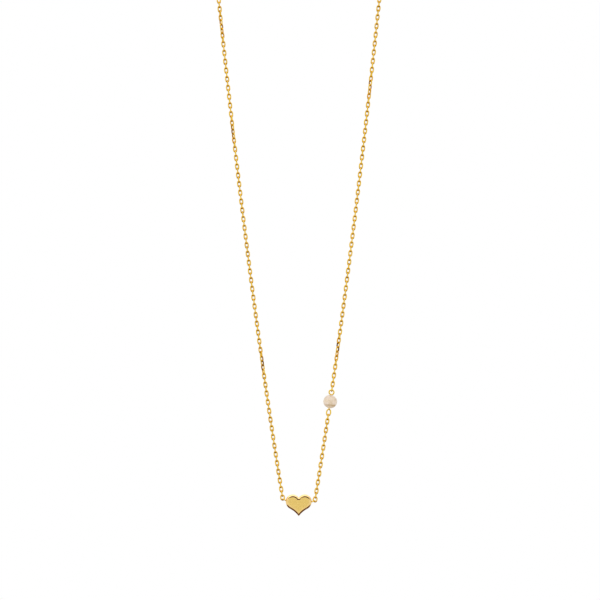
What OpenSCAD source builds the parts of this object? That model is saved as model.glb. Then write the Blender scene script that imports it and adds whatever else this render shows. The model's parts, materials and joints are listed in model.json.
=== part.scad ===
// A pendant necklace that hangs in one long loop: a fine oval cable chain, a heart charm let into
// its lowest point, one drilled pearl in the right strand and a spring ring clasp at the top.
//
// Millimetres. The origin is the middle of the neck opening, +X is to the right and +Y to the
// back as the heart is seen from its front, and +Z is up. All pieces hang in the XZ plane.
//
// The loop is a row of pieces that hang in one another. Each piece runs from one node to the
// next, where a node is the middle of the play between two wires that touch under load. Below
// the neck the nodes lie on two halves of a catenary, and round the neck they lie on an arc.

/* [Chain] */
// Distance from one link to the next
chain_pitch = 1.1; // [1:0.05:1.3]
// Diameter of the link wire
chain_wire = 0.3; // [0.24:0.01:0.32]
// Outside width of a link
link_width = 1.1; // [1.06:0.02:1.3]
// Play between two wires that hang in each other
play = 0.05; // [0.03:0.005:0.07]
// Pairs of links in the left strand
left_pairs = 100; // [86:1:120]
// Pairs of link places in the right strand, the pearl's among them
right_pairs = 100; // [86:1:120]
// Pairs of links between the heart and the pearl
pairs_below_pearl = 10; // [8:1:14]
// Most that a link is rolled askew by chance, in degrees
loose_roll = 3; // [0:0.5:5]
// Most that the chain is twisted where it has a kink, in degrees
kink_roll = 45; // [0:5:60]
// Links from the middle of a kink to where the chain runs straight again
kink_reach = 5; // [5:1:8]

/* [Hang] */
// Catenary constant of the strands: how far the heart pulls them together
sideways_pull = 36; // [30:1:42]
// Length of chain that would weigh as much as half of what hangs below
heart_pull = 222; // [200:1:250]
// Extra length of the right strand's catenary at the heart
right_drop = 0.45; // [0.3:0.05:0.6]

/* [Heart charm] */
// Radius of the two lobes
lobe_radius = 1.75; // [1.6:0.05:1.9]
// Distance of a lobe's centre from the middle
lobe_offset = 1.5; // [1.45:0.025:1.6]
// Radius of the fuller shoulder that each lobe runs into below
shoulder_radius = 2.1; // [1.9:0.05:2.4]
// Distance of the tip below the lobes' centres
tip_depth = 3.7; // [3.5:0.05:4]
// Radius of the slight hollow in each side above the tip
flank_radius = 6; // [4:0.5:20]
// Radius of the hollow between the lobes
cleft_radius = 0.2; // [0.15:0.01:0.4]
// Thickness of the heart
heart_thickness = 1; // [0.9:0.05:1.4]
// Width of the bevel round its rim, as seen from the front
bevel_width = 0.5; // [0.3:0.05:0.6]
// Depth of the bevel
bevel_depth = 0.3; // [0.15:0.05:0.35]

/* [Heart rings and eyelets] */
// Outside length of a heart ring
heart_ring_length = 1.6; // [1.5:0.05:1.8]
// Outside width of a heart ring
heart_ring_width = 1.25; // [1.2:0.05:1.35]
// Diameter of the eyelet wire
eyelet_wire = 0.26; // [0.2:0.01:0.28]
// Inside diameter of a heart eyelet
eyelet_inside = 0.54; // [0.5:0.01:0.7]
// Depth to which an eyelet is sunk in the rim
eyelet_sink = 0.08; // [0.04:0.01:0.12]
// Seat of the left eyelet on the rim, as an angle above the lobe's centre
left_seat = 9; // [5:1:13]
// Seat of the right eyelet on the rim
right_seat = -2; // [-5:1:2]
// Angle by which the left eyelet slants up from the rim
left_slant = 27; // [20:1:32]
// Gap that solder fills round a soldered ring
solder_gap = 0.02; // [0.01:0.005:0.03]

/* [Pearl] */
// Height of the pearl along its drill hole
pearl_height = 3.3; // [3:0.05:3.4]
// Width of the pearl across its drill hole
pearl_width = 3.5; // [3.4:0.05:4]
// Diameter of the eye pin's wire
pin_wire = 0.35; // [0.3:0.01:0.4]
// Outside length of the eye pin's top loop
top_loop_length = 1.55; // [1.55:0.05:2]
// Outside width of the eye pin's top loop
top_loop_width = 1.55; // [1.3:0.05:1.55]
// Outside length of the eye pin's bottom loop
bottom_loop_length = 1.95; // [1.6:0.05:2.2]
// Outside width of the eye pin's bottom loop
bottom_loop_width = 1.35; // [1.25:0.05:1.6]
// Running clearance of the pin in the drill hole, on the radius
drill_clearance = 0.06; // [0.03:0.01:0.1]
// Gap between the pearl and each loop
bead_gap = 0.03; // [0.02:0.01:0.1]

/* [Clasp] */
// Radius of the case's centre line
case_radius = 2.1; // [2:0.05:2.6]
// Diameter of the case's tube
case_tube = 1.24; // [1.2:0.02:1.4]
// Thickness of the tube's wall
case_wall = 0.14; // [0.12:0.01:0.18]
// Angle of the clasp's mouth
mouth_angle = 50; // [44:1:54]
// Angle from the eyelet to the near end of the mouth
mouth_start = 100; // [96:1:106]
// Clearance between the bolt and the tube
bolt_clearance = 0.06; // [0.04:0.01:0.08]
// Angle by which the shut bolt enters the far end of the case
bolt_entry = 8; // [5:1:10]
// Length of the bolt, as an angle
bolt_angle = 96; // [92:1:100]
// Diameter of the thumb knob's stem
stem_width = 0.36; // [0.3:0.02:0.42]
// Diameter of the thumb knob's head
knob_width = 0.76; // [0.6:0.02:0.8]
// Height of the knob's head above the case
knob_height = 0.36; // [0.3:0.02:0.5]
// Diameter of the spring's wire
spring_wire = 0.12; // [0.08:0.01:0.14]
// Turns of the spring
spring_turns = 13; // [10:1:15]
// Diameter of the wire of the clasp's eyelet
clasp_eyelet_wire = 0.4; // [0.34:0.02:0.5]
// Inside diameter of the clasp's eyelet
clasp_eyelet_inside = 0.8; // [0.7:0.05:1.1]

/* [Jump rings and end ring] */
// Diameter of the jump rings' wire
jump_wire = 0.38; // [0.34:0.01:0.4]
// Inside diameter of a jump ring
jump_inside = 1.6; // [1.5:0.05:2]
// Width of the cut in a jump ring
jump_cut = 0.04; // [0.02:0.01:0.06]
// Diameter of the end ring's wire
end_wire = 0.6; // [0.5:0.02:0.66]
// Inside diameter of the end ring
end_inside = 2.8; // [2.7:0.05:3.4]

/* [Hidden] */
$fn = 32;
STRANDS = 7;

GOLD = [0.89, 0.70, 0.36];
POLISHED_GOLD = [0.95, 0.78, 0.42];
STEEL = [0.72, 0.73, 0.75];
PEARL = [0.93, 0.87, 0.81];

// Links below each fold, in pairs, counted up from the heart: between two folds the chain is one
// section, so the first section is at the heart and the last one goes round the neck
fold_pairs = [5, 22, 39, 51, 65, 81];
// Links at which the chain has a kink
left_kinks = [31, 84, 108];
right_kinks = [34, 94];
pairs_for_pearl = 3;

left_links = 2 * left_pairs - 1;
right_places = 2 * right_pairs;
links_below_pearl = 2 * pairs_below_pearl - 1;
pearl_place = links_below_pearl + 1;
link_above_pearl = links_below_pearl + 2 * pairs_for_pearl;

link_length = chain_pitch + play + 2 * chain_wire;
heart_ring_span = heart_ring_length - 2 * chain_wire - play;
pin_length = top_loop_length + bottom_loop_length + pearl_height + 2 * bead_gap;
pin_span = pin_length - 2 * pin_wire - play;
jump_span = jump_inside - play;
end_span = end_inside - play;

// ---- The clasp's inner sizes ----
bore_radius = case_tube / 2 - case_wall;
bolt_radius = bore_radius - bolt_clearance;
clasp_eyelet_radius = (clasp_eyelet_inside + clasp_eyelet_wire) / 2;
clasp_eyelet_centre = case_radius + case_tube / 2 + clasp_eyelet_inside / 2 + clasp_eyelet_wire
  - eyelet_sink;
clasp_low = -(case_radius - case_tube / 2);
clasp_high = clasp_eyelet_centre + clasp_eyelet_inside / 2;
clasp_span = clasp_high - clasp_low - play;
bolt_tip = mouth_start + mouth_angle + bolt_entry;
bolt_tail = bolt_tip - bolt_angle;
bolt_travel = mouth_angle + bolt_entry;
knob_angle = mouth_start - 15;
spring_start = bolt_tail - 2;
spring_angle = 160;
channel_end = spring_start - spring_angle - 2;

// ---- The line on which the whole loop hangs ----
function asinh(v) = ln(v + sqrt(v * v + 1));
function catenary_x(s) =
  sideways_pull * (asinh((s + heart_pull) / sideways_pull) - asinh(heart_pull / sideways_pull));
function catenary_z(s) =
  sqrt(pow(sideways_pull, 2) + pow(s + heart_pull, 2))
  - sqrt(pow(sideways_pull, 2) + pow(heart_pull, 2));
function lean(s) = atan(sideways_pull / (s + heart_pull));

// The heart's eyelets fix where the two strands start. The far wire of an eyelet, in which a ring
// hangs, lies at this rise above the lobes' centres and this run from the heart's middle.
eyelet_radius = (eyelet_inside + eyelet_wire) / 2;
seat_radius = lobe_radius + eyelet_wire / 2 - eyelet_sink;
eyelet_hook = eyelet_wire / 2 + play / 2;
function eyelet_rise(seat, slant) = seat_radius * sin(seat) + 2 * eyelet_radius * sin(slant);
function eyelet_run(seat, slant) =
  lobe_offset + seat_radius * cos(seat) + 2 * eyelet_radius * cos(slant);
left_rise = eyelet_rise(left_seat, left_slant);
right_rise = left_rise + catenary_z(-right_drop);
right_slant = asin((right_rise - seat_radius * sin(right_seat)) / (2 * eyelet_radius));
left_start = eyelet_run(left_seat, left_slant) - eyelet_hook * sin(lean(0));
right_start = eyelet_run(right_seat, right_slant) - eyelet_hook * sin(lean(0));
start_x = (left_start + right_start - catenary_x(-right_drop)) / 2;
heart_x = left_start - start_x;
function strand_x(s) = start_x + catenary_x(s);

// Length of each strand from the heart to the clasp
left_reach = heart_ring_span + left_links * chain_pitch + jump_span + end_span;
right_reach = -right_drop + heart_ring_span + links_below_pearl * chain_pitch + pin_span
  + (right_places - link_above_pearl + 1) * chain_pitch + jump_span;
half_loop = (left_reach + clasp_span + right_reach) / 2;

// The strands run straight on until the rest of the loop is just enough to go round the neck
function neck_radius_at(s) = strand_x(s) / cos(lean(s));
function half_loop_at(s) = s + (90 + lean(s)) * PI / 180 * neck_radius_at(s);
function meet(low, high, steps) =
  steps == 0 ? (low + high) / 2 :
  half_loop_at((low + high) / 2) > half_loop ? meet(low, (low + high) / 2, steps - 1) :
  meet((low + high) / 2, high, steps - 1);
strand_top = meet(0, half_loop, 40);
neck_radius = neck_radius_at(strand_top);
neck_lean = lean(strand_top);
strand_z = -neck_radius * sin(neck_lean) - catenary_z(strand_top);

// A point of the loop, s mm from the heart along the strand on one side (left -1, right 1)
function on_arc(side, angle) = [side * neck_radius * cos(angle), 0, neck_radius * sin(angle)];
function loop_point(side, s) =
  s < strand_top ? [side * strand_x(s), 0, strand_z + catenary_z(s)] :
  on_arc(side, (s - strand_top) / neck_radius * 180 / PI - neck_lean);

// Node below the piece at each place: place 0 is the heart ring, place 1 the first link
function left_node(place) =
  loop_point(-1, place == 0 ? 0 : heart_ring_span + (place - 1) * chain_pitch);
function right_length(place) =
  place == 0 ? -right_drop :
  place <= pearl_place ? -right_drop + heart_ring_span + (place - 1) * chain_pitch :
  right_length(pearl_place) + pin_span + (place - link_above_pearl) * chain_pitch;
function right_node(place) = loop_point(1, right_length(place));
heart_z = left_node(0).z + eyelet_hook * cos(lean(0)) - left_rise;

// Neighbouring links cross at a right angle, some a little askew, and turn further at a kink
function kink(place, spot) =
  abs(place - spot) < kink_reach ? kink_roll * pow(cos(90 * (place - spot) / kink_reach), 2) : 0;
function link_roll(place, kinks) =
  90 * (place % 2) + loose_roll * sin(137.5 * place) + max([for (spot = kinks) kink(place, spot)]);

// First and last place of each section of a strand, section 0 going round the neck
function section_first(n) = n == STRANDS - 1 ? 1 : 2 * fold_pairs[STRANDS - 2 - n];
function section_last(n, top) = n == 0 ? top : 2 * fold_pairs[STRANDS - 1 - n] - 1;

// ---- Wire shapes ----

// Puts a piece whose long way is Z between two nodes, rolled about that line
module hang(low, high, roll = 0) {
  way = high - low;
  translate((low + high) / 2)
    rotate([0, atan2(way.x, way.z), 0])
      rotate([0, 0, roll])
        children();
}

// Oval wire loop in the XZ plane
module wire_oval(length, width, wire) {
  bend = (width - wire) / 2;
  straight = length - width;
  for (end = [-1, 1])
    translate([0, 0, end * straight / 2])
      rotate([end * 90, 0, 0])
        wire_arc(bend, wire, 180);
  if (straight > 0)
    for (side = [-1, 1])
      translate([side * bend, 0, 0])
        cylinder(h = straight, d = wire, center = true);
}

// Bent round wire in the XY plane that starts on the X axis
module wire_arc(radius, wire, angle) {
  rotate_extrude(angle = angle)
    translate([radius, 0])
      circle(d = wire);
}

// Round ring in the XZ plane, cut open by a narrow slot on its +X side
module cut_ring(inside, wire, cut) {
  radius = (inside + wire) / 2;
  open_angle = cut / radius * 180 / PI;
  rotate([90, 0, 0])
    rotate([0, 0, open_angle / 2])
      wire_arc(radius, wire, 360 - open_angle);
}

module closed_ring(inside, wire) {
  rotate([90, 0, 0])
    wire_arc((inside + wire) / 2, wire, 360);
}

// ---- The chain ----

module chain_link() {
  wire_oval(link_length, link_width, chain_wire);
}

module chain_left(n) {
  color(GOLD)
    for (place = [section_first(n):section_last(n, left_links)])
      hang(left_node(place), left_node(place + 1), link_roll(place, left_kinks))
        chain_link();
}

module chain_right(n) {
  color(GOLD)
    for (place = [section_first(n):section_last(n, right_places)])
      if (place < pearl_place || place >= link_above_pearl)
        hang(right_node(place), right_node(place + 1), link_roll(place, right_kinks))
          chain_link();
}

// ---- The heart, its eyelets and its rings ----

// The heart's outline is drawn about the lobes' centres. From the top to the tip, each half is one
// side of the hollow, a lobe, its fuller shoulder and a slightly hollow flank.
ARC_STEPS = 12;
shoulder_x = lobe_offset + lobe_radius - shoulder_radius;
hollow_z = sqrt(pow(lobe_radius + cleft_radius, 2) - pow(lobe_offset, 2));
hollow_lean = atan2(hollow_z, lobe_offset);
// The flank's circle touches the shoulder's and runs through the tip
shoulder_to_tip = norm([shoulder_x, tip_depth]);
flank_turn = acos(
  (pow(shoulder_to_tip, 2) + pow(shoulder_radius, 2) + 2 * shoulder_radius * flank_radius)
  / (2 * shoulder_to_tip * (shoulder_radius + flank_radius))
);
flank_lean = flank_turn - atan2(tip_depth, -shoulder_x);
flank = [shoulder_x, 0] + (shoulder_radius + flank_radius) * [cos(flank_lean), sin(flank_lean)];

function arc(centre, radius, from, to) = [
  for (n = [0:ARC_STEPS])
    let (angle = from + (to - from) * n / ARC_STEPS)
      centre + radius * [cos(angle), sin(angle)]
];

// Right half of the outline, made smaller all round by an inset, from the hollow to the tip
function half_outline(inset) =
  let (reach = flank_radius + inset)
  let (tip_lean = 180 - acos(flank.x / reach))
  concat(
    arc([0, hollow_z], cleft_radius + inset, -90, -hollow_lean),
    arc([lobe_offset, 0], lobe_radius - inset, 180 - hollow_lean, 0),
    arc([shoulder_x, 0], shoulder_radius - inset, 0, flank_lean),
    arc(flank, reach, 180 + flank_lean, tip_lean)
  );

// Whole outline at a depth in the heart, without the doubled points where two arcs meet
function outline(inset, depth) =
  let (half = half_outline(inset), count = len(half))
  let (right = [for (n = [0:count - 1]) if (n % (ARC_STEPS + 1) > 0 || n == 0) half[n]])
  let (left = [for (n = [len(right) - 2:-1:1]) [-right[n].x, right[n].y]])
  [for (point = concat(right, left)) [point.x, depth, point.y]];

// Solid through a row of closed rings, each with the same number of points
module ring_solid(rings) {
  sides = len(rings[0]);
  last = (len(rings) - 1) * sides;
  ends = [
    [for (side = [0:sides - 1]) side],
    [for (side = [sides - 1:-1:0]) last + side]
  ];
  skin = [
    for (n = [0:len(rings) - 2])
      for (side = [0:sides - 1])
        let (next = (side + 1) % sides, here = n * sides)
          [here + side, here + side + sides, here + next + sides, here + next]
  ];
  polyhedron(points = [for (ring = rings) each ring], faces = concat(ends, skin));
}

// The heart's plate with a bevel round both faces, standing in the XZ plane
module heart_plate() {
  face = heart_thickness / 2;
  rim = face - bevel_depth;
  ring_solid([
    outline(bevel_width, -face),
    outline(0, -rim),
    outline(0, rim),
    outline(bevel_width, face)
  ]);
}

// Round wire ring, soldered to the rim of the lobe on one side (left -1, right 1)
module rim_eyelet(side, seat, slant, wire) {
  translate([side * lobe_offset, 0, 0])
    rotate([0, side * -seat, 0])
      translate([side * seat_radius, 0, 0])
        rotate([0, side * (seat - slant), 0])
          translate([side * eyelet_radius, 0, 0])
            wire_arc(eyelet_radius, wire, 360);
}

module at_heart() {
  translate([heart_x, 0, heart_z])
    children();
}

module heart_charm() {
  solder = eyelet_wire + 2 * solder_gap;
  color(POLISHED_GOLD)
    at_heart()
      difference() {
        heart_plate();
        rim_eyelet(-1, left_seat, left_slant, solder);
        rim_eyelet(1, right_seat, right_slant, solder);
      }
}

module heart_eyelet_left() {
  color(GOLD)
    at_heart()
      rim_eyelet(-1, left_seat, left_slant, eyelet_wire);
}

module heart_eyelet_right() {
  color(GOLD)
    at_heart()
      rim_eyelet(1, right_seat, right_slant, eyelet_wire);
}

module heart_ring_left() {
  color(GOLD)
    hang(left_node(0), left_node(1))
      wire_oval(heart_ring_length, heart_ring_width, chain_wire);
}

module heart_ring_right() {
  color(GOLD)
    hang(right_node(0), right_node(1))
      wire_oval(heart_ring_length, heart_ring_width, chain_wire);
}

// ---- The pearl and its eye pin ----

// Puts a piece at the middle of the eye pin
module at_pin() {
  hang(right_node(pearl_place), right_node(link_above_pearl))
    children();
}

pearl_z = (bottom_loop_length - top_loop_length) / 2;

// The flank is round, and the two drilled ends are a little flat
module pearl() {
  bulge = pearl_height / 2;
  color(PEARL)
    at_pin()
      translate([0, 0, pearl_z])
        difference() {
          rotate_extrude()
            intersection() {
              translate([pearl_width / 2 - bulge, 0])
                circle(r = bulge, $fn = 64);
              translate([0, -pearl_height])
                square([pearl_width, 2 * pearl_height]);
            }
          cylinder(h = 2 * pearl_height, r = pin_wire / 2 + drill_clearance, center = true);
        }
}

module eye_pin() {
  top_z = pin_length / 2 - top_loop_length / 2;
  bottom_z = pin_length / 2 - bottom_loop_length / 2;
  stem_low = -pin_length / 2 + bottom_loop_length - pin_wire / 2;
  stem_high = pin_length / 2 - top_loop_length + pin_wire / 2;
  color(GOLD)
    at_pin() {
      translate([0, 0, top_z])
        wire_oval(top_loop_length, top_loop_width, pin_wire);
      translate([0, 0, -bottom_z])
        wire_oval(bottom_loop_length, bottom_loop_width, pin_wire);
      translate([0, 0, stem_low])
        cylinder(h = stem_high - stem_low, d = pin_wire);
    }
}

// ---- The clasp ----

// Puts the clasp's drawing plane in the loop: its X axis points along the chain to the right
// strand, through the clasp's eyelet, and its Y axis points away from the neck
module at_clasp() {
  hang(loop_point(-1, left_reach), loop_point(1, right_reach))
    translate([0, 0, -(clasp_low + clasp_high) / 2])
      rotate([90, -90, 0])
        children();
}

// Round wire bent round the clasp's centre, between two angles
module clasp_arc(wire, from, to) {
  rotate([0, 0, from])
    wire_arc(case_radius, wire, to - from);
}

module clasp_case() {
  slot_margin = asin((stem_width / 2 + bolt_clearance) / case_radius) + 1;
  color(POLISHED_GOLD)
    at_clasp()
      difference() {
        clasp_arc(case_tube, mouth_start + mouth_angle, 360 + mouth_start);
        // Channel of the bolt and its spring, and the socket for the bolt's tip
        clasp_arc(2 * bore_radius, channel_end, mouth_start + 1);
        clasp_arc(2 * bore_radius, mouth_start + mouth_angle - 1, bolt_tip + 4);
        // Slot in which the thumb knob's stem slides
        rotate([0, 0, knob_angle - bolt_travel - slot_margin])
          rotate_extrude(angle = bolt_travel + 2 * slot_margin)
            translate([case_radius, -stem_width / 2 - bolt_clearance])
              square([case_tube, stem_width + 2 * bolt_clearance]);
      }
}

module clasp_bolt() {
  color(GOLD)
    at_clasp()
      difference() {
        clasp_arc(2 * bolt_radius, bolt_tail, bolt_tip);
        at_knob()
          cylinder(h = case_tube, d = stem_width + 2 * solder_gap);
      }
}

// Puts the thumb knob's foot at the bolt's centre line, pointing away from the neck
module at_knob() {
  rotate([0, 0, knob_angle])
    translate([case_radius, 0, 0])
      rotate([0, 90, 0])
        children();
}

module clasp_thumb_knob() {
  head = case_tube / 2 + knob_height;
  color(POLISHED_GOLD)
    at_clasp()
      at_knob() {
        translate([0, 0, solder_gap])
          cylinder(h = head - solder_gap, d = stem_width);
        translate([0, 0, head])
          sphere(d = knob_width);
      }
}

// The spring is one wire swept along a coil whose own centre line is bent round the clasp
coil_steps = 12;
coil_sides = 6;
coil_radius = bore_radius - bolt_clearance - spring_wire / 2;
function coil_point(t, out, along) =
  let (bend = spring_start - spring_angle * t + along, turn = 360 * spring_turns * t)
  let (reach = case_radius + (coil_radius + out) * cos(turn))
  [reach * cos(bend), reach * sin(bend), (coil_radius + out) * sin(turn)];
function coil_ring(t) = [
  for (side = [0:coil_sides - 1])
    coil_point(
      t,
      spring_wire / 2 * cos(360 * side / coil_sides),
      spring_wire / 2 * sin(360 * side / coil_sides) / case_radius * 180 / PI
    )
];

module clasp_spring() {
  rings = coil_steps * spring_turns;
  color(STEEL)
    at_clasp()
      ring_solid([for (n = [0:rings]) coil_ring(n / rings)]);
}

module clasp_eyelet() {
  color(GOLD)
    at_clasp()
      difference() {
        translate([clasp_eyelet_centre, 0, 0])
          wire_arc(clasp_eyelet_radius, clasp_eyelet_wire, 360);
        clasp_arc(case_tube + 2 * solder_gap, -45, 45);
      }
}

// ---- Rings at the two ends of the chain ----

module jump_ring_clasp() {
  color(GOLD)
    hang(loop_point(1, right_reach - jump_span), loop_point(1, right_reach), 90)
      cut_ring(jump_inside, jump_wire, jump_cut);
}

module jump_ring_end() {
  color(GOLD)
    hang(
      loop_point(-1, left_reach - end_span - jump_span),
      loop_point(-1, left_reach - end_span)
    )
      cut_ring(jump_inside, jump_wire, jump_cut);
}

module end_ring() {
  color(POLISHED_GOLD)
    hang(loop_point(-1, left_reach - end_span), loop_point(-1, left_reach), 90)
      closed_ring(end_inside, end_wire);
}

heart_charm();
heart_eyelet_left();
heart_eyelet_right();
heart_ring_left();
heart_ring_right();
pearl();
eye_pin();
clasp_case();
clasp_bolt();
clasp_thumb_knob();
clasp_spring();
clasp_eyelet();
jump_ring_clasp();
jump_ring_end();
end_ring();
for (n = [0:STRANDS - 1]) {
  chain_left(n);
  chain_right(n);
}
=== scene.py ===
"""A pendant necklace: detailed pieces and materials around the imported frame.

Lengths are metres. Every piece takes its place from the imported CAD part. Links and rings take
their size from it too, and the other pieces have the sizes that are named here.
"""
import json
import math
import random
from collections import namedtuple

import bmesh
import bpy
import numpy as np
from mathutils import Matrix, Vector


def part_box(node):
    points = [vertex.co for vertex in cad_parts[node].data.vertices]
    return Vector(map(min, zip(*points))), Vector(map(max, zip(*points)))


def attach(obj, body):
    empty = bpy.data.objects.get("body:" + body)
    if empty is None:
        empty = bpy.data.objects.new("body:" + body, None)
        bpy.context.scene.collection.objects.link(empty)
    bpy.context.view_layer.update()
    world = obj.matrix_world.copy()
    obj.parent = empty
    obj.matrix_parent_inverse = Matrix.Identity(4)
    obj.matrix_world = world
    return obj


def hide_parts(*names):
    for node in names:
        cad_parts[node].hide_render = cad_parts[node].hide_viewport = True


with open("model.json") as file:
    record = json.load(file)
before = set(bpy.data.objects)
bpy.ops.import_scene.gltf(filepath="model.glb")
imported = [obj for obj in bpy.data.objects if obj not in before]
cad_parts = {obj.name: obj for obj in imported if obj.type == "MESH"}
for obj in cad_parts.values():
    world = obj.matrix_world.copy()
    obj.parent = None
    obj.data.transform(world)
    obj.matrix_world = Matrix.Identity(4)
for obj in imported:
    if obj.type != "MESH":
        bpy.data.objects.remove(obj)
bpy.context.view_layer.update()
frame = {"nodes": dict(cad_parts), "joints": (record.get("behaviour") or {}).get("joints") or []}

MM = 0.001
SEED = 7
SECTIONS = 7
UP = Vector((0, 0, 1))
BACK = Vector((0, 1, 0))
WELD_DISTANCE = 0.0005 * MM

# ---- Camera, level with the necklace and straight before it ----
VIEW_WIDTH = 150 * MM
VIEW_CENTRE = Vector((0.25 * MM, 0, -134.57 * MM))
CAMERA_DISTANCE = 0.5
CAMERA_NEAR = 0.01
SENSOR = 36

# ---- Floor and lamp ----
FLOOR_Z = -0.65
FLOOR_RADIUS = 0.14
FLOOR_SIDES = 128
FLOOR_COLOUR = (0.86, 0.86, 0.85)
FLOOR_ROUGHNESS = 0.6
KEY_PLACE = Vector((-0.45, -0.6, 0.25))
KEY_SIZE = 0.7
KEY_POWER = 0.6

# ---- Room: rises run between heights, and the turn between depths, on a sphere of radius 1 ----
ROOM_WHITE = (1.0, 1.0, 1.0)
PLAIN_LIGHT = (0.92, 0.92, 0.92)
BAND_RISE = (0.1, 0.24)
DIM_BAND = (0.06, 0.028, 0.012)
CEILING_RISE = (0.53, 0.63)
CEILING = (1.6, 1.55, 1.9)
BACK_TURN = (-0.8, -0.68)
TABLE_FOOT = (-0.93, -0.85)
TABLE_TOP = (-0.6, -0.36)
DIM_TABLE = (0.13, 0.05, 0.012)

# ---- Wire pieces ----
WIRE_SIDES = 12
LINK_STEPS = 28
LINK_TONES = (0.6, 0.85)
WIRE_TONE = 0.7
OVAL_FULLNESS = 0.7
WIRE_FULLNESS = 1.15
SEAM_LENGTH = 0.16 * MM
SEAM_BULGE = 0.04
# Painted shade towards both ends of each link, and darkening of one side of a link that turns askew
END_SHADE_DEPTH = 0.7
END_SHADE_REACH = (0.35, 0.75)
ASKEW_DEPTH = 0.9
ASKEW_REACH = (0, 0.5)
FILLET_ANGLE = math.radians(24)

# ---- Heart, sizes as in the CAD part ----
LOBE_RADIUS = 1.75 * MM
LOBE_OFFSET = 1.5 * MM
SHOULDER_RADIUS = 2.1 * MM
TIP_DEPTH = 3.7 * MM
FLANK_RADIUS = 6.0 * MM
CLEFT_RADIUS = 0.2 * MM
HEART_THICKNESS = 1.0 * MM
TIP_RADIUS = 0.14 * MM
SHARP_RADIUS = 0.02 * MM
BEVEL_WIDTH = 0.7 * MM
BEVEL_DEPTH = 0.46 * MM
BEVEL_FIRST_ANGLE = math.radians(14)
BEVEL_STEPS = 7
HEART_ARC_STEPS = 20
HEART_TONE = 0.4
HEART_RING_STEPS = 40
EYELET_FILLET = 0.3

# ---- Pearl and eye pin, loops given as length and width ----
TOP_LOOP = (1.55 * MM, 1.55 * MM)
BOTTOM_LOOP = (1.95 * MM, 1.35 * MM)
NECK_LENGTH = 0.04 * MM
NECK_ANGLE = math.radians(24)
CUT_ANGLE = math.radians(11)
TURN_STEPS = 24
STEM_STEPS = 3
SPAN_STEPS = 3
PEARL_HEIGHT = 3.3 * MM
PEARL_WIDTH = 3.5 * MM
PEARL_LIFT = 0.1 * MM
PEARL_STEPS = 36
PEARL_SIDES = 56
DRILL_RADIUS = 0.235 * MM
DRILL_FLARE = 1.1
DIMPLE_RADIUS = 0.42 * MM
DIMPLE_DEPTH = 0.1 * MM
# Waves round the pearl: how many, and how high as a share of its radius
PEARL_WAVES = ((2, 0.006), (3, 0.004))
WAVE_TWIST = 0.9 / MM
# A band of painted shade round the pearl: its height, width, strength and the side where it is darkest
WAIST_Z = -0.85 * MM
WAIST_WIDTH = 0.28 * MM
WAIST_SHADE_STRENGTH = 1.0
WAIST_SIDE = math.radians(-58)

# ---- Clasp, sizes as in the CAD part, angles in degrees round its centre ----
CASE_RADIUS = 2.1 * MM
CASE_TUBE = 1.24 * MM
CASE_WALL = 0.14 * MM
CASE_TONE = 0.4
CASE_SIDES = 32
CASE_BACK_STEPS = 84
CASE_SLOT_STEPS = 24
CASE_FRONT_STEPS = 4
LIP_HEIGHT = 0.03 * MM
LIP_PLACE = 0.12 * MM
LIP_LENGTH = 0.09 * MM
MOUTH = (100, 150)
BOLT = (62, 158)
BOLT_RADIUS = 0.42 * MM
BOLT_STEPS = 40
BOLT_TIP_STEPS = 7
KNOB_ANGLE = 85
KNOB_TRAVEL = 58
SLOT_MARGIN = 1
KNOB_WIDTH = 0.76 * MM
KNOB_HEIGHT = 0.36 * MM
KNOB_SPAN = math.radians(150)
KNOB_TOP = math.radians(2)
KNOB_STEPS = 13
STEM_WIDTH = 0.36 * MM
STEM_CLEARANCE = 0.06 * MM
STEM_FOOT = 0.02 * MM
ROUND_SIDES = 28
CLASP_RING_SIDES = 16
CLASP_RING_STEPS = 64
CLASP_FILLET = 0.2
JUMP_CUT = 0.04 * MM
CATCH_RING_TONE = 0.8

# ---- Metals: three tones from the darkest, which only the wire pieces' painted shade reaches, to polish,
# a range of roughness, and clouds and grain in waves per metre ----
Look = namedtuple("Look", "tones roughness clouds grain grain_depth")
CHAIN_LOOK = Look(
    tones=((0.14, 0.06, 0.012), (0.72, 0.36, 0.012), (0.86, 0.60, 0.075)),
    roughness=(0.28, 0.38),
    clouds=900,
    grain=12000,
    grain_depth=0.008 * MM,
)
CLASP_LOOK = Look(
    tones=((0.30, 0.16, 0.04), (0.70, 0.42, 0.08), (0.94, 0.68, 0.22)),
    roughness=(0.16, 0.26),
    clouds=500,
    grain=7000,
    grain_depth=0.008 * MM,
)
SATIN_LOOK = Look(
    tones=((0.70, 0.45, 0.09), (0.79, 0.52, 0.11), (0.98, 0.76, 0.27)),
    roughness=(0.38, 0.46),
    clouds=2400,
    grain=9000,
    grain_depth=0.02 * MM,
)
POLISH_LOOK = Look(
    tones=((0.60, 0.36, 0.08), (0.76, 0.50, 0.14), (0.94, 0.70, 0.32)),
    roughness=(0.06, 0.11),
    clouds=600,
    grain=8000,
    grain_depth=0.003 * MM,
)
STEEL_LOOK = Look(
    tones=((0.42, 0.42, 0.43), (0.50, 0.50, 0.51), (0.66, 0.66, 0.67)),
    roughness=(0.25, 0.4),
    clouds=700,
    grain=9000,
    grain_depth=0.01 * MM,
)
TONE_STOPS = (0.02, 0.3, 0.95)
TONE_CLOUDS = 0.5
CLOUD_DETAIL = 3
GRAIN_DETAIL = 6
GRAIN_STRENGTH = 0.15
SOLDER = (0.88, 0.62, 0.18)
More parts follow.
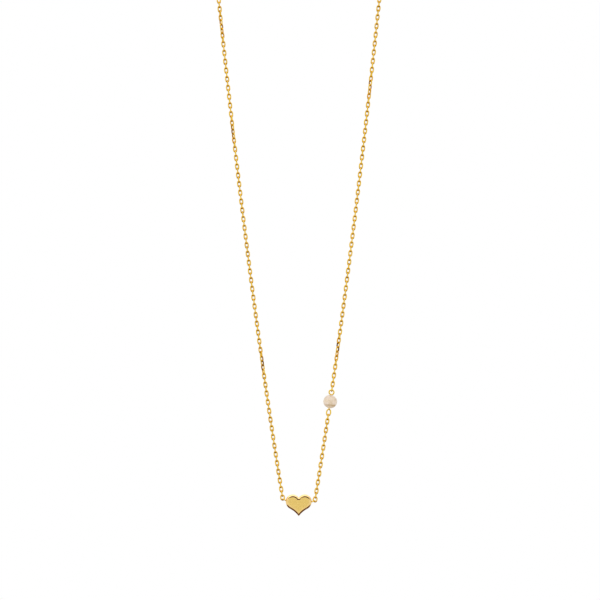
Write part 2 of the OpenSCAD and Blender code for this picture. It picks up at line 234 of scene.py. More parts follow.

# ---- Pearl's colours, from its darkest clouds to its palest, and the tan of its painted shade ----
NACRE_STOPS = (
    (0.32, (0.66, 0.50, 0.33)),
    (0.46, (0.82, 0.67, 0.49)),
    (0.56, (0.84, 0.68, 0.56)),
    (0.68, (0.88, 0.79, 0.67)),
)
NACRE_CLOUDS = 750
NACRE_ROUGHNESS = (0.25, 0.38)
NACRE_SHEEN = 0.5
NACRE_SHEEN_ROUGHNESS = 0.4
NACRE_COAT = 0.4
NACRE_COAT_ROUGHNESS = 0.15
NACRE_GRAIN = 2600
NACRE_GRAIN_DETAIL = 4
NACRE_GRAIN_STRENGTH = 0.1
NACRE_GRAIN_DEPTH = 0.01 * MM
WAIST_SHADE_COLOUR = (0.50, 0.33, 0.14)
WAIST_BREAKS = 420
WAIST_BREAK_DETAIL = 2
WAIST_RANGE = (-0.5, 2.0)


# ---------------------------------------------------------------- solids of the CAD nodes

def solids_of(node):
    """The separate solids of a CAD node, each as an array of its triangles' corners."""
    mesh = frame["nodes"][node].data
    mesh.calc_loop_triangles()
    points = np.empty(3 * len(mesh.vertices))
    mesh.vertices.foreach_get("co", points)
    points = points.reshape(-1, 3)
    triangles = np.empty(3 * len(mesh.loop_triangles), dtype=np.int64)
    mesh.loop_triangles.foreach_get("vertices", triangles)
    triangles = triangles.reshape(-1, 3)
    _, joined = np.unique(np.round(points / WELD_DISTANCE), axis=0, return_inverse=True)
    corners = joined.reshape(-1)[triangles]
    # Each corner takes the lowest label that any triangle hands it, until none changes
    labels = np.arange(corners.max() + 1)
    while True:
        lowest = labels[corners].min(axis=1)
        spread = labels.copy()
        for side in range(3):
            np.minimum.at(spread, corners[:, side], lowest)
        spread = spread[spread]
        if (spread == labels).all():
            break
        labels = spread
    owner = labels[corners[:, 0]]
    return [points[triangles[owner == label]] for label in np.unique(owner)]


class Loop:
    """Where a flat piece of wire lies and how large it is, measured on its CAD solid."""

    def __init__(self, triangles):
        # The axes are those of the surface's second moments, worked out triangle by triangle
        sums = triangles.sum(axis=1)
        edges = triangles[:, 1:] - triangles[:, :1]
        areas = np.linalg.norm(np.cross(edges[:, 0], edges[:, 1]), axis=1) / 2
        middle = (areas[:, None] * sums / 3).sum(axis=0) / areas.sum()
        inner = np.einsum("nki,nkj->nij", triangles - middle, triangles - middle)
        outer = np.einsum("ni,nj->nij", sums - 3 * middle, sums - 3 * middle)
        spread = (areas[:, None, None] * (inner + outer)).sum(axis=0)
        _, vectors = np.linalg.eigh(spread)
        long = vectors[:, 2] * (1 if vectors[2, 2] >= 0 else -1)
        wide = vectors[:, 1] * (1 if vectors[0, 1] >= 0 else -1)
        flat = np.cross(long, wide)
        points = triangles.reshape(-1, 3)
        reach = []
        centre = np.zeros(3)
        for axis in (wide, flat, long):
            along = points @ axis
            reach.append(along.max() - along.min())
            centre += axis * (along.max() + along.min()) / 2
        self.width, self.wire, self.length = reach
        self.middle = Vector(middle)
        self.centre = Vector(centre)
        self.matrix = Matrix.Translation(self.centre) @ Matrix(
            [[wide[i], flat[i], long[i]] for i in range(3)]
        ).to_4x4()

    def angle_of(self, point):
        """Angle in the loop's plane, from its wide axis to its long one, at which a point lies."""
        local = self.matrix.inverted() @ point
        return math.atan2(local.z, local.x)


def joint(name):
    """The frame's joint of this name."""
    return next(one for one in frame["joints"] if one["name"] == name)


# ---------------------------------------------------------------- meshes

class Sheet:
    """Collects the vertices and faces of one mesh, with values for its materials at each vertex."""

    def __init__(self):
        self.points = []
        self.faces = []
        self.tones = []
        self.seams = []
        self.materials = []
        self.smooth = []

    def ring(self, points, tone=0.0, seam=0.0):
        """Adds a row of points and returns their numbers."""
        first = len(self.points)
        self.points.extend(points)
        self.tones.extend([tone] * len(points))
        self.seams.extend([seam] * len(points))
        return list(range(first, first + len(points)))

    def face(self, corners, material=0, smooth=True):
        """Adds one face."""
        self.faces.append(tuple(corners))
        self.materials.append(material)
        self.smooth.append(smooth)

    def bridge(self, low, high, material=0, closed=True):
        """Joins two rows of points by a strip of faces."""
        count = len(low)
        for i in range(count if closed else count - 1):
            j = (i + 1) % count
            self.face((low[i], low[j], high[j], high[i]), material)

    def piece(self, name, node, body, materials):
        """Makes the object that rides on a body in place of a CAD node."""
        mesh = bpy.data.meshes.new(name)
        mesh.from_pydata([tuple(point) for point in self.points], [], self.faces)
        for label, values in (("tone", self.tones), ("seam", self.seams)):
            layer = mesh.attributes.new(label, "FLOAT", "POINT")
            layer.data.foreach_set("value", values)
        mesh.polygons.foreach_set("use_smooth", self.smooth)
        mesh.polygons.foreach_set("material_index", self.materials)
        for material in materials:
            mesh.materials.append(material)
        bm = bmesh.new()
        bm.from_mesh(mesh)
        bmesh.ops.recalc_face_normals(bm, faces=bm.faces)
        bm.to_mesh(mesh)
        bm.free()
        thing = bpy.data.objects.new(name, mesh)
        bpy.context.scene.collection.objects.link(thing)
        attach(thing, body)
        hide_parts(node)


class Station:
    """One cross-section of a wire: its centre, two directions across the wire and its radius."""

    def __init__(self, centre, across, over, radius, tone=WIRE_TONE, seam=0.0):
        self.centre = centre
        self.across = across
        self.over = over
        self.radius = radius
        self.tone = tone
        self.seam = seam


def sweep(sheet, stations, closed=False, sides=WIRE_SIDES):
    """Round wire through a row of stations, with its two ends capped where it isn't closed."""
    rings = []
    for station in stations:
        circle = []
        for side in range(sides):
            angle = 2 * math.pi * side / sides
            offset = station.across * math.cos(angle) + station.over * math.sin(angle)
            circle.append(station.centre + offset * station.radius)
        rings.append(sheet.ring(circle, station.tone, station.seam))
    for low, high in zip(rings, rings[1:]):
        sheet.bridge(low, high)
    if closed:
        sheet.bridge(rings[-1], rings[0])
    else:
        sheet.face(rings[0], smooth=False)
        sheet.face(rings[-1], smooth=False)


def oval_points(length, width, wire, steps):
    """Points and outward directions along an oval's centre line in the XZ plane."""
    high = (length - wire) / 2
    wide = (width - wire) / 2
    # A long oval keeps a little of its straight sides, and a round one is a circle
    power = 2 / (2 + OVAL_FULLNESS * (length / width - 1))
    row = []
    for step in range(steps):
        angle = 2 * math.pi * step / steps
        across = math.cos(angle)
        along = math.sin(angle)
        x = math.copysign(abs(across) ** power, across) * wide
        z = math.copysign(abs(along) ** power, along) * high
        row.append(Vector((x, 0, z)))
    outwards = []
    for i in range(steps):
        ahead = row[(i + 1) % steps] - row[i - 1]
        outwards.append(Vector((ahead.z, 0, -ahead.x)).normalized())
    return list(zip(row, outwards))


def soft_step(value, low, high):
    """0 below low, 1 above high and a soft step between."""
    part = min(max((value - low) / (high - low), 0), 1)
    return part * part * (3 - 2 * part)


def wire_loop(sheet, loop, tone, seam_side, steps, fullness=WIRE_FULLNESS):
    """A closed oval of round wire with a slightly proud soldered seam in one of its long sides.

    At both ends, where it hangs in its neighbours, it carries painted shade, and one side of a loop
    that turns askew to the Y axis is made darker. Its wire is fuller than the CAD's by a share that
    its play leaves room for.
    """
    turn = loop.matrix.to_3x3()
    over = turn @ BACK
    askew = 1 - abs(2 * over.y ** 2 - 1)
    stations = []
    for point, outward in oval_points(loop.length, loop.width, loop.wire * fullness, steps):
        side = point.x * seam_side
        seam = math.exp(-((point.z / SEAM_LENGTH) ** 2)) if side > 0 else 0
        # Painted shade: each wire loop is darker towards both ends, where it hangs in its neighbours
        end_shade = END_SHADE_DEPTH * soft_step(abs(point.z) / (loop.length / 2), *END_SHADE_REACH)
        # One side of a link that turns askew to the Y axis is made darker, on the side away from its
        # seam
        askew_darkening = ASKEW_DEPTH * askew * soft_step(-side / (loop.width / 2), *ASKEW_REACH)
        stations.append(Station(
            loop.matrix @ point,
            turn @ outward,
            over,
            loop.wire / 2 * (fullness + SEAM_BULGE * seam),
            tone - max(end_shade, askew_darkening),
            seam,
        ))
    sweep(sheet, stations, closed=True)


def ring_stations(loop, radius, start, turn_angle, steps, fillet=0.0):
    """Stations of a round ring in a measured loop's plane, thicker by a fillet where it starts."""
    turn = loop.matrix.to_3x3()
    over = turn @ BACK
    stations = []
    for step in range(steps + 1):
        angle = turn_angle * step / steps
        outward = turn @ Vector((math.cos(start + angle), 0, math.sin(start + angle)))
        near = min(angle, 2 * math.pi - angle)
        thicker = fillet * math.exp(-((near / FILLET_ANGLE) ** 2))
        wire_radius = loop.wire / 2 * (1 + thicker)
        stations.append(
            Station(loop.centre + outward * radius, outward, over, wire_radius, seam=thicker)
        )
    return stations


def soldered_ring(name, node, body, towards, fillet, material):
    """A closed round ring, thicker where solder joins it to what lies towards a point."""
    loop = Loop(solids_of(node)[0])
    seat = loop.angle_of(towards)
    radius = ((loop.length + loop.width) / 2 - loop.wire) / 2
    stations = ring_stations(loop, radius, seat, 2 * math.pi, CLASP_RING_STEPS, fillet)
    sheet = Sheet()
    sweep(sheet, stations[:-1], closed=True, sides=CLASP_RING_SIDES)
    sheet.piece(name, node, body, [material])


# ---------------------------------------------------------------- materials

class Graph:
    """A node tree, with the few kinds of node that the materials and the world are made of."""

    def __init__(self, tree):
        self.nodes = tree.nodes
        self.links = tree.links

    def plug(self, value, socket):
        """Gives a socket another node's output, a colour or a number."""
        if isinstance(value, bpy.types.NodeSocket):
            self.links.new(value, socket)
        elif isinstance(value, tuple):
            socket.default_value = (*value, 1)
        else:
            socket.default_value = value

    def attribute(self, name):
        """A value that the mesh carries at its vertices."""
        node = self.nodes.new("ShaderNodeAttribute")
        node.attribute_name = name
        return node.outputs["Fac"]

    def noise(self, scale, detail):
        """Noise of 0 to 1 in the object's own coordinates."""
        where = self.nodes.new("ShaderNodeTexCoord")
        node = self.nodes.new("ShaderNodeTexNoise")
        self.plug(where.outputs["Object"], node.inputs["Vector"])
        self.plug(scale, node.inputs["Scale"])
        self.plug(detail, node.inputs["Detail"])
        return node.outputs["Fac"]

    def ramp(self, value, stops):
        """A colour ramp with stops of (place, colour)."""
        node = self.nodes.new("ShaderNodeValToRGB")
        elements = node.color_ramp.elements
        while len(elements) < len(stops):
            elements.new(0.5)
        for element, (place, colour) in zip(elements, stops):
            element.position = place
            element.color = (*colour, 1)
        self.plug(value, node.inputs["Fac"])
        return node.outputs["Color"]

    def spread(self, value, low, high):
        """Maps a value of 0 to 1 onto a range."""
        node = self.nodes.new("ShaderNodeMapRange")
        self.plug(value, node.inputs["Value"])
        self.plug(low, node.inputs["To Min"])
        self.plug(high, node.inputs["To Max"])
        return node.outputs["Result"]

    def step(self, value, low, high):
        """0 where a value is below low, 1 where it is above high and a soft step between."""
        node = self.nodes.new("ShaderNodeMapRange")
        node.interpolation_type = "SMOOTHSTEP"
        self.plug(value, node.inputs["Value"])
        self.plug(low, node.inputs["From Min"])
        self.plug(high, node.inputs["From Max"])
        return node.outputs["Result"]

    def mix(self, factor, first, second):
        """Mixes two colours."""
        node = self.nodes.new("ShaderNodeMix")
        node.data_type = "RGBA"
        self.plug(factor, node.inputs["Factor"])
        self.plug(first, node.inputs["A"])
        self.plug(second, node.inputs["B"])
        return node.outputs["Result"]

    def maths(self, operation, *values):
        """One sum of numbers."""
        node = self.nodes.new("ShaderNodeMath")
        node.operation = operation
        for value, socket in zip(values, node.inputs):
            self.plug(value, socket)
        return node.outputs["Value"]

    def bump(self, height, strength, distance):
        """A normal that follows a height."""
        node = self.nodes.new("ShaderNodeBump")
        self.plug(strength, node.inputs["Strength"])
        self.plug(distance, node.inputs["Distance"])
        self.plug(height, node.inputs["Height"])
        return node.outputs["Normal"]


def new_material(name, **values):
    """A material, its node graph and its shader, with plain values set by the shader's sockets."""
    material = bpy.data.materials.new(name)
    material.use_nodes = True
    graph = Graph(material.node_tree)
    shader = graph.nodes["Principled BSDF"].inputs
    for label, value in values.items():
        graph.plug(value, shader[label.replace("_", " ").title()])
    return material, graph, shader


def metal(name, look, soldered=False):
    """Metal whose colour follows its tone attribute and cloudy noise, under a fine grain."""
    material, graph, shader = new_material(name, metallic=1.0)
    cloud = graph.noise(look.clouds, CLOUD_DETAIL)
    # The tone attribute carries each piece's own tone, less the painted shade that wire_loop puts in
    # it
    tone = graph.maths("MULTIPLY_ADD", cloud, TONE_CLOUDS, graph.attribute("tone"))
    colour = graph.ramp(tone, list(zip(TONE_STOPS, look.tones)))
    if soldered:
        colour = graph.mix(graph.attribute("seam"), colour, SOLDER)
    grain = graph.noise(look.grain, GRAIN_DETAIL)
    graph.plug(colour, shader["Base Color"])
    graph.plug(graph.spread(cloud, *look.roughness), shader["Roughness"])
    graph.plug(graph.bump(grain, GRAIN_STRENGTH, look.grain_depth), shader["Normal"])
    return material


def nacre():
    """Cream freshwater pearl with pink clouds, painted shade in tan on one side of its waist, and soft
    lustre.
    """
    material, graph, shader = new_material(
        "nacre",
        sheen_weight=NACRE_SHEEN,
        sheen_roughness=NACRE_SHEEN_ROUGHNESS,
        coat_weight=NACRE_COAT,
        coat_roughness=NACRE_COAT_ROUGHNESS,
    )
    cloud = graph.noise(NACRE_CLOUDS, CLOUD_DETAIL)
    breaks = graph.spread(graph.noise(WAIST_BREAKS, WAIST_BREAK_DETAIL), *WAIST_RANGE)
    # On the pearl the tone attribute carries only the painted shade
    waist_shade = graph.maths("MULTIPLY", graph.attribute("tone"), breaks)
    colour = graph.mix(waist_shade, graph.ramp(cloud, NACRE_STOPS), WAIST_SHADE_COLOUR)
    grain = graph.noise(NACRE_GRAIN, NACRE_GRAIN_DETAIL)
    normal = graph.bump(grain, NACRE_GRAIN_STRENGTH, NACRE_GRAIN_DEPTH)
    graph.plug(colour, shader["Base Color"])
    graph.plug(graph.spread(cloud, *NACRE_ROUGHNESS), shader["Roughness"])
    graph.plug(normal, shader["Normal"])
    return material


CHAIN_GOLD = metal("chain_gold", CHAIN_LOOK, soldered=True)
CLASP_GOLD = metal("clasp_gold", CLASP_LOOK, soldered=True)
HEART_SATIN = metal("heart_satin", SATIN_LOOK)
HEART_POLISH = metal("heart_polish", POLISH_LOOK)
STEEL = metal("spring_steel", STEEL_LOOK)
NACRE = nacre()


# ---------------------------------------------------------------- the chain

def chain():
    """Every link of both strands, one object for each packed length of chain."""
    for side_number, side in enumerate(("left", "right")):
        for part in range(SECTIONS):
            draw = random.Random(SEED + 2 * part + side_number)
            sheet = Sheet()
            for triangles in solids_of(f"chain_{side}_{part}"):
                tone = draw.uniform(*LINK_TONES)
                seam_side = draw.choice((-1, 1))
                wire_loop(sheet, Loop(triangles), tone, seam_side, LINK_STEPS)
            body = f"strands_{part}" if part else "neck"
            sheet.piece(
                f"cable_{side}_{part}", f"chain_{side}_{part}", body, [CHAIN_GOLD]
            )


# ---------------------------------------------------------------- the heart

def arc(centre, radius, start, end, steps):
    """Points of an arc in the XZ plane, without its last point."""
    row = []
    for step in range(steps):
        angle = start + (end - start) * step / steps
        row.append(centre + radius * Vector((math.cos(angle), 0, math.sin(angle))))
    return row


def heart_outline(inset):
    """The heart's outline about its lobes' centres, made smaller all round by an inset."""
    shoulder = Vector((LOBE_OFFSET + LOBE_RADIUS - SHOULDER_RADIUS, 0, 0))
    lobe = Vector((LOBE_OFFSET, 0, 0))
    hollow = Vector((0, 0, math.sqrt((LOBE_RADIUS + CLEFT_RADIUS) ** 2 - LOBE_OFFSET ** 2)))
    hollow_lean = math.atan2(hollow.z, LOBE_OFFSET)
    to_tip = math.hypot(shoulder.x, TIP_DEPTH)
    turn = math.acos(
        (to_tip ** 2 + SHOULDER_RADIUS ** 2 + 2 * SHOULDER_RADIUS * FLANK_RADIUS)
        / (2 * to_tip * (SHOULDER_RADIUS + FLANK_RADIUS))
    )
    lean = turn - math.atan2(TIP_DEPTH, -shoulder.x)
    to_flank = Vector((math.cos(lean), 0, math.sin(lean)))
    flank = shoulder + (SHOULDER_RADIUS + FLANK_RADIUS) * to_flank
    reach = FLANK_RADIUS + inset
    tip_radius = max(TIP_RADIUS - inset, SHARP_RADIUS)
    tip_centre = Vector((0, 0, flank.z + math.sqrt((reach + tip_radius) ** 2 - flank.x ** 2)))
    tip_lean = math.atan2(tip_centre.z - flank.z, -flank.x)
    steps = HEART_ARC_STEPS
    half = arc(hollow, CLEFT_RADIUS + inset, -math.pi / 2, -hollow_lean, steps // 2)
    half += arc(lobe, LOBE_RADIUS - inset, math.pi - hollow_lean, 0, 2 * steps)
    half += arc(shoulder, SHOULDER_RADIUS - inset, 0, lean, steps)
    half += arc(flank, reach, math.pi + lean, tip_lean, steps)
    half += arc(tip_centre, tip_radius, tip_lean - math.pi, -math.pi / 2, steps // 2)
    tip = tip_centre - UP * tip_radius
    mirrored = [Vector((-point.x, 0, point.z)) for point in reversed(half[1:])]
    return half + [tip] + mirrored


def bevel_profile():
    """Insets and depths from the face's edge to the rim: a rounded bevel that starts at an angle."""
    first = math.sin(BEVEL_FIRST_ANGLE)
    row = []
    for step in range(BEVEL_STEPS + 1):
        angle = BEVEL_FIRST_ANGLE + (math.pi / 2 - BEVEL_FIRST_ANGLE) * step / BEVEL_STEPS
        out = (math.sin(angle) - first) / (1 - first)
        back = 1 - math.cos(angle) / math.cos(BEVEL_FIRST_ANGLE)
        row.append((BEVEL_WIDTH * (1 - out), HEART_THICKNESS / 2 - BEVEL_DEPTH * back))
    return row


def heart_origin():
    """The point midway between the lobes' centres."""
    low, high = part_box("heart_charm")
    return Vector(((low.x + high.x) / 2, 0, high.z - LOBE_RADIUS))


def heart():
    """The charm: satin faces, a polished rounded bevel round both and a narrow plain rim."""
    origin = heart_origin()
    sheet = Sheet()
    front = [(inset, -depth) for inset, depth in bevel_profile()]
    back = [(inset, depth) for inset, depth in reversed(bevel_profile())]
    rings = []
    for inset, depth in front + back:
        outline = [origin + point + BACK * depth for point in heart_outline(inset)]
        rings.append(sheet.ring(outline, HEART_TONE))
    for low, high in zip(rings, rings[1:]):
        sheet.bridge(low, high, material=1)
    sheet.face(rings[0], smooth=False)
    sheet.face(rings[-1], smooth=False)
    sheet.piece("heart", "heart_charm", "heart", [HEART_SATIN, HEART_POLISH])


def heart_wires():
    """The two rings beside the heart, and the eyelets soldered to its rim."""
    for side, sign in (("left", -1), ("right", 1)):
        ring = Loop(solids_of(f"heart_ring_{side}")[0])
        sheet = Sheet()
        wire_loop(sheet, ring, WIRE_TONE, sign, HEART_RING_STEPS)
        sheet.piece(
            f"ring_{side}", f"heart_ring_{side}", "heart_rings", [CHAIN_GOLD]
        )
        lobe = heart_origin() + Vector((sign * LOBE_OFFSET, 0, 0))
        soldered_ring(
            f"eyelet_{side}", f"heart_eyelet_{side}", "heart", lobe, EYELET_FILLET,
            CHAIN_GOLD,
        )


# ---------------------------------------------------------------- the pearl and its eye pin

def turned_loop(size, wire, far):
    """Centre line of a loop turned at the end of a pin: it leaves the pin's line to one side, runs
    round the far end and comes back until its cut end meets the wire. far is +1 up and -1 down.
    """
    high = (size[0] - wire) / 2
    wide = (size[1] - wire) / 2
    first = -math.pi / 2 - NECK_ANGLE
    turn = 2 * math.pi - NECK_ANGLE - CUT_ANGLE
    row = []
    for step in range(TURN_STEPS):
        angle = first - turn * step / (TURN_STEPS - 1)
        row.append(Vector((wide * math.cos(angle), 0, far * high * math.sin(angle))))
    return row


def smoothed(points, per_span):
    """Points of a Catmull-Rom curve through the given ones."""
    padded = [2 * points[0] - points[1]] + points + [2 * points[-1] - points[-2]]
    row = []
    for a, b, c, d in zip(padded, padded[1:], padded[2:], padded[3:]):
        for step in range(per_span):
            t = step / per_span
            bend = (2 * a - 5 * b + 4 * c - d) * t ** 2 + (3 * b - a - 3 * c + d) * t ** 3
            row.append(b + 0.5 * ((c - a) * t + bend))
    return row + [points[-1]]


def eye_pin(loop):
    """One wire: a turned loop, the stem through the pearl, and a second turned loop."""
    top_centre = UP * (loop.length - TOP_LOOP[0]) / 2
    bottom_centre = -UP * (loop.length - BOTTOM_LOOP[0]) / 2
    top = [top_centre + point for point in turned_loop(TOP_LOOP, loop.wire, 1)]
    bottom = [bottom_centre + point for point in turned_loop(BOTTOM_LOOP, loop.wire, -1)]
    neck_high = top_centre - UP * (TOP_LOOP[0] / 2 + NECK_LENGTH)
    neck_low = bottom_centre + UP * (BOTTOM_LOOP[0] / 2 + NECK_LENGTH)
    stem = [neck_high.lerp(neck_low, step / STEM_STEPS) for step in range(STEM_STEPS + 1)]
    line = smoothed(list(reversed(top)) + stem + bottom, SPAN_STEPS)
    turn = loop.matrix.to_3x3()
    over = turn @ BACK
    stations = []
    for i, point in enumerate(line):
        ahead = line[min(i + 1, len(line) - 1)] - line[max(i - 1, 0)]
        across = BACK.cross(ahead).normalized()
        stations.append(Station(loop.matrix @ point, turn @ across, over, loop.wire / 2))
    sheet = Sheet()
    sweep(sheet, stations)
    sheet.piece("pin", "eye_pin", "eye_pin", [CHAIN_GOLD])


def pearl_profile():
    """Radii and heights round the pearl's section: the drill hole, a dimple, the outside, a dimple."""
    bulge = PEARL_HEIGHT / 2
    belly = PEARL_WIDTH / 2 - bulge
    edge = math.acos((DIMPLE_RADIUS - belly) / bulge)
    dimple = bulge * math.sin(edge) - DIMPLE_DEPTH
    top = [(DRILL_RADIUS, 0.0), (DRILL_RADIUS, dimple - DIMPLE_DEPTH)]
    top += [(DRILL_RADIUS * DRILL_FLARE, dimple)]
    outside = []
    for step in range(PEARL_STEPS + 1):
        angle = edge - 2 * edge * step / PEARL_STEPS
        outside.append((belly + bulge * math.cos(angle), bulge * math.sin(angle)))
    bottom = [(radius, -height) for radius, height in reversed(top[1:])]
    return top + outside + bottom


def pearl(pin):
    """A pearl turned about the pin's line, a little uneven, with a dimple round each drill hole."""
    centre = Loop(solids_of("pearl")[0]).middle
    turn = pin.matrix.to_3x3()
    sheet = Sheet()
    rings = []
    for radius, z in pearl_profile():
        # Painted shade: a tan band round the waist, strongest on one side
        waist_shade = WAIST_SHADE_STRENGTH * math.exp(-(((z - WAIST_Z) / WAIST_WIDTH) ** 2))
        circle = []
        tones = []
        for side in range(PEARL_SIDES):
            angle = 2 * math.pi * side / PEARL_SIDES
            reach = radius
            for count, height in PEARL_WAVES:
                wave = math.cos(count * angle + WAVE_TWIST * z) - 1
                reach += height * wave * radius ** 2 / PEARL_WIDTH
            point = Vector((reach * math.cos(angle), reach * math.sin(angle), z + PEARL_LIFT))
            circle.append(centre + turn @ point)
            tones.append(waist_shade * (1 + math.cos(angle - WAIST_SIDE)) / 2)
        ring = sheet.ring(circle)
        # The painted shade lies on one side of the pearl, so each point has its own tone
        sheet.tones[ring[0]:] = tones
        rings.append(ring)
    for low, high in zip(rings, rings[1:] + rings[:1]):
        sheet.bridge(low, high)
    sheet.piece("bead", "pearl", "pearl", [NACRE])


# ---------------------------------------------------------------- the clasp

def clasp_frame():
    """Matrix of the clasp's own drawing plane: X along the chain, Y away from the neck."""
    along = Vector(joint("clasp_roll")["axis"])
    away = (UP - along * along.dot(UP)).normalized()
    towards = along.cross(away)
    centre = Vector(joint("bolt_draw")["pos_m"])
    return Matrix.Translation(centre) @ Matrix(
        [[along[i], away[i], towards[i]] for i in range(3)]
    ).to_4x4()


def outward_at(bend):
    """Direction away from the clasp's centre at an angle round it."""
    return Vector((math.cos(bend), math.sin(bend), 0))


def evenly(first, last, steps):
    """Numbers from first up to last, without the last."""
    return [first + (last - first) * step / steps for step in range(steps)]


def lip_height(distance):
    """How far the case's rolled lip stands proud at a distance from its mouth."""
    return LIP_HEIGHT * math.exp(-(((distance - LIP_PLACE) / LIP_LENGTH) ** 2))


def clasp_case(matrix):
    """The hollow bent tube with rolled lips at its mouth and the slot in which the knob slides."""
    first = math.radians(MOUTH[1])
    last = math.radians(360 + MOUTH[0])
    half_slot = STEM_WIDTH / 2 + STEM_CLEARANCE
    margin = math.asin(half_slot / CASE_RADIUS) + math.radians(SLOT_MARGIN)
    slot_first = math.radians(360 + KNOB_ANGLE - KNOB_TRAVEL) - margin
    slot_last = math.radians(360 + KNOB_ANGLE) + margin
    bends = evenly(first, slot_first, CASE_BACK_STEPS)
    bends += evenly(slot_first, slot_last, CASE_SLOT_STEPS)
    bends += evenly(slot_last, last, CASE_FRONT_STEPS) + [last]
    slot_steps = range(CASE_BACK_STEPS, CASE_BACK_STEPS + CASE_SLOT_STEPS)
    outer = CASE_TUBE / 2
    half_open = math.asin(half_slot / outer)
    arounds = evenly(half_open, 2 * math.pi - half_open, CASE_SIDES) + [2 * math.pi - half_open]
    sheet = Sheet()

    def skin(radius, proud):
        """Rings of one of the tube's two skins."""
        rings = []
        for bend in bends:
            lip = proud * lip_height(min(bend - first, last - bend) * CASE_RADIUS)
            circle = []
            for around in arounds:
                reach = CASE_RADIUS + (radius + lip) * math.cos(around)
                rise = (radius + lip) * math.sin(around)
                circle.append(matrix @ (outward_at(bend) * reach + UP * rise))
            rings.append(sheet.ring(circle, CASE_TONE))
        return rings

    outside = skin(outer, 1)
    inside = skin(outer - CASE_WALL, 0)
    for rings in (outside, inside):
        for i, (low, high) in enumerate(zip(rings, rings[1:])):
            sheet.bridge(low, high, closed=i not in slot_steps)

    def wall(first_row, second_row, pairs):
        """Faces between the skins along an edge."""
        for (ring, point), (next_ring, next_point) in pairs:
            sheet.face((
                first_row[ring][point],
                first_row[next_ring][next_point],
                second_row[next_ring][next_point],
                second_row[ring][point],
            ), smooth=False)

    for edge in (0, -1):
        wall(outside, inside, [((i, edge), (i + 1, edge)) for i in slot_steps])
    for end in (slot_steps.start, slot_steps.stop):
        wall(outside, inside, [((end, 0), (end, -1))])
    count = len(arounds)
    for end in (0, -1):
        wall(outside, inside, [((end, i), (end, (i + 1) % count)) for i in range(count)])
    sheet.piece("case", "clasp_case", "clasp", [CLASP_GOLD])


def clasp_bolt(matrix):
    """The bent bolt that closes the mouth, with a rounded tip."""
    first = math.radians(BOLT[0])
    round_angle = BOLT_RADIUS / CASE_RADIUS
    round_first = math.radians(BOLT[1]) - round_angle
    profile = [(bend, BOLT_RADIUS) for bend in evenly(first, round_first, BOLT_STEPS)]
    for angle in evenly(0, math.pi / 2, BOLT_TIP_STEPS):
        bend = round_first + round_angle * math.sin(angle)
        profile.append((bend, BOLT_RADIUS * math.cos(angle)))
    turn = matrix.to_3x3()
    stations = []
    for bend, radius in profile:
        outward = outward_at(bend)
        stations.append(
            Station(matrix @ (outward * CASE_RADIUS), turn @ outward, turn @ UP, radius)
        )
    sheet = Sheet()
    sweep(sheet, stations, sides=ROUND_SIDES)
    sheet.piece("bolt", "clasp_bolt", "trigger", [CLASP_GOLD])


def thumb_knob(matrix):
    """The stem and its mushroom head, turned about the radius on which they stand."""
    outward = outward_at(math.radians(KNOB_ANGLE))
    side = UP.cross(outward)
    centre = CASE_TUBE / 2 + KNOB_HEIGHT
    radius = KNOB_WIDTH / 2
    head_foot = centre + radius * math.cos(KNOB_SPAN)
    profile = [(STEM_FOOT, STEM_WIDTH / 2), (head_foot, STEM_WIDTH / 2)]
    for angle in evenly(KNOB_SPAN, KNOB_TOP, KNOB_STEPS)[1:] + [KNOB_TOP]:
        profile.append((centre + radius * math.cos(angle), radius * math.sin(angle)))
    turn = matrix.to_3x3()
    stations = []
    for height, reach in profile:
        place = matrix @ (outward * (CASE_RADIUS + height))
        stations.append(Station(place, turn @ side, turn @ UP, reach))
    sheet = Sheet()
    sweep(sheet, stations, sides=ROUND_SIDES)
    sheet.piece("knob", "clasp_thumb_knob", "trigger", [CLASP_GOLD])


def jump_ring(name, node):
    """An open ring of round wire whose two cut ends nearly meet."""
    loop = Loop(solids_of(node)[0])
    radius = (loop.length - loop.wire) / 2
    # The ring's surface is lightest on the side where it is cut
    cut = loop.angle_of(2 * loop.centre - loop.middle)
    half_gap = JUMP_CUT / 2 / radius
    stations = ring_stations(
        loop, radius, cut + half_gap, 2 * (math.pi - half_gap), CLASP_RING_STEPS
    )
    sheet = Sheet()
    sweep(sheet, stations, sides=CLASP_RING_SIDES)
    sheet.piece(name, node, node, [CLASP_GOLD])


def clasp():
    """The spring-ring clasp, its jump rings and the heavy ring that it catches."""
    matrix = clasp_frame()
    clasp_case(matrix)
    clasp_bolt(matrix)
    thumb_knob(matrix)
    soldered_ring(
        "clasp_loop", "clasp_eyelet", "clasp", matrix.translation, CLASP_FILLET,
        CLASP_GOLD,
    )
    jump_ring("open_ring_clasp", "jump_ring_clasp")
    jump_ring("open_ring_end", "jump_ring_end")
    sheet = Sheet()
    ring = Loop(solids_of("end_ring")[0])
    wire_loop(sheet, ring, CATCH_RING_TONE, 1, CLASP_RING_STEPS, fullness=1)
    sheet.piece("catch_ring", "end_ring", "end_ring", [CLASP_GOLD])
    # The coil spring keeps its CAD mesh
    spring = frame["nodes"]["clasp_spring"].data
    spring.materials.clear()
    spring.materials.append(STEEL)


# ---------------------------------------------------------------- stage, light and camera

scene = bpy.context.scene
scene.view_settings.view_transform = "Standard"


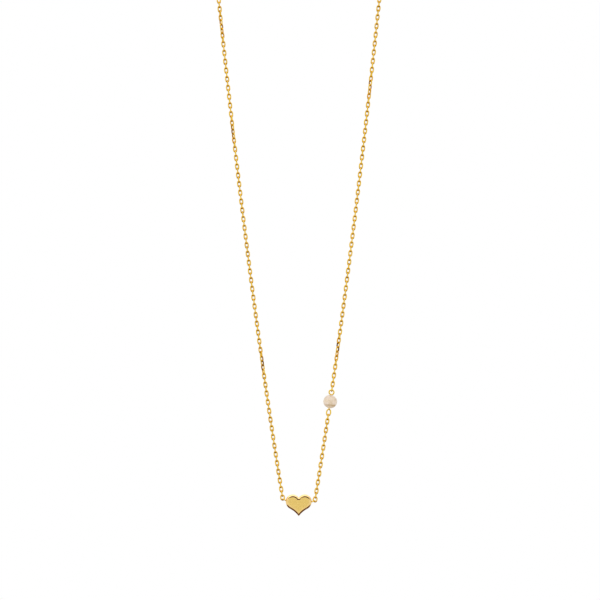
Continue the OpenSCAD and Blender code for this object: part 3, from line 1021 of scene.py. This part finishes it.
def studio_world():
    """White behind the necklace and plain light on it. Metal mirrors the same white, but for a
    brighter ceiling, a dim band over the camera and the dim edge of a table lower down."""
    world = bpy.data.worlds.new("studio")
    world.use_nodes = True
    scene.world = world
    graph = Graph(world.node_tree)
    where = graph.nodes.new("ShaderNodeTexCoord")
    split = graph.nodes.new("ShaderNodeSeparateXYZ")
    graph.plug(where.outputs["Generated"], split.inputs["Vector"])
    depth = split.outputs["Y"]
    height = split.outputs["Z"]
    front = graph.mix(graph.step(height, *BAND_RISE), ROOM_WHITE, DIM_BAND)
    table = graph.mix(graph.step(height, *TABLE_FOOT), ROOM_WHITE, DIM_TABLE)
    back = graph.mix(graph.step(height, *TABLE_TOP), table, ROOM_WHITE)
    walls = graph.mix(graph.step(depth, *BACK_TURN), front, back)
    room = graph.mix(graph.step(height, *CEILING_RISE), walls, CEILING)
    path = graph.nodes.new("ShaderNodeLightPath").outputs
    lit = graph.mix(path["Is Glossy Ray"], PLAIN_LIGHT, room)
    seen = graph.maths("MAXIMUM", path["Is Camera Ray"], path["Is Transmission Ray"])
    graph.plug(graph.mix(seen, lit, ROOM_WHITE), graph.nodes["Background"].inputs["Color"])


def key_lamp():
    """A soft lamp to the left of the camera and above it."""
    data = bpy.data.lights.new("key", "AREA")
    data.size = KEY_SIZE
    data.energy = KEY_POWER
    lamp = bpy.data.objects.new("key", data)
    lamp.location = KEY_PLACE
    lamp.rotation_euler = (VIEW_CENTRE - KEY_PLACE).to_track_quat("-Z", "Y").to_euler()
    scene.collection.objects.link(lamp)


def floor():
    """A plain pale disc, far below the necklace."""
    bpy.ops.mesh.primitive_circle_add(
        vertices=FLOOR_SIDES, radius=FLOOR_RADIUS, fill_type="NGON", location=UP * FLOOR_Z
    )
    disc = bpy.context.object
    disc.name = "floor"
    material, _, _ = new_material(
        "floor_white", base_color=FLOOR_COLOUR, roughness=FLOOR_ROUGHNESS
    )
    disc.data.materials.append(material)


def camera():
    """A level camera straight before the middle of the view."""
    data = bpy.data.cameras.new("camera")
    data.sensor_width = SENSOR
    data.lens = SENSOR * CAMERA_DISTANCE / VIEW_WIDTH
    data.clip_start = CAMERA_NEAR
    thing = bpy.data.objects.new("camera", data)
    thing.location = VIEW_CENTRE - BACK * CAMERA_DISTANCE
    thing.rotation_euler = (math.pi / 2, 0, 0)
    scene.collection.objects.link(thing)
    scene.camera = thing


camera()
chain()
heart()
heart_wires()
pin_loop = Loop(solids_of("eye_pin")[0])
eye_pin(pin_loop)
pearl(pin_loop)
clasp()
studio_world()
key_lamp()
floor()
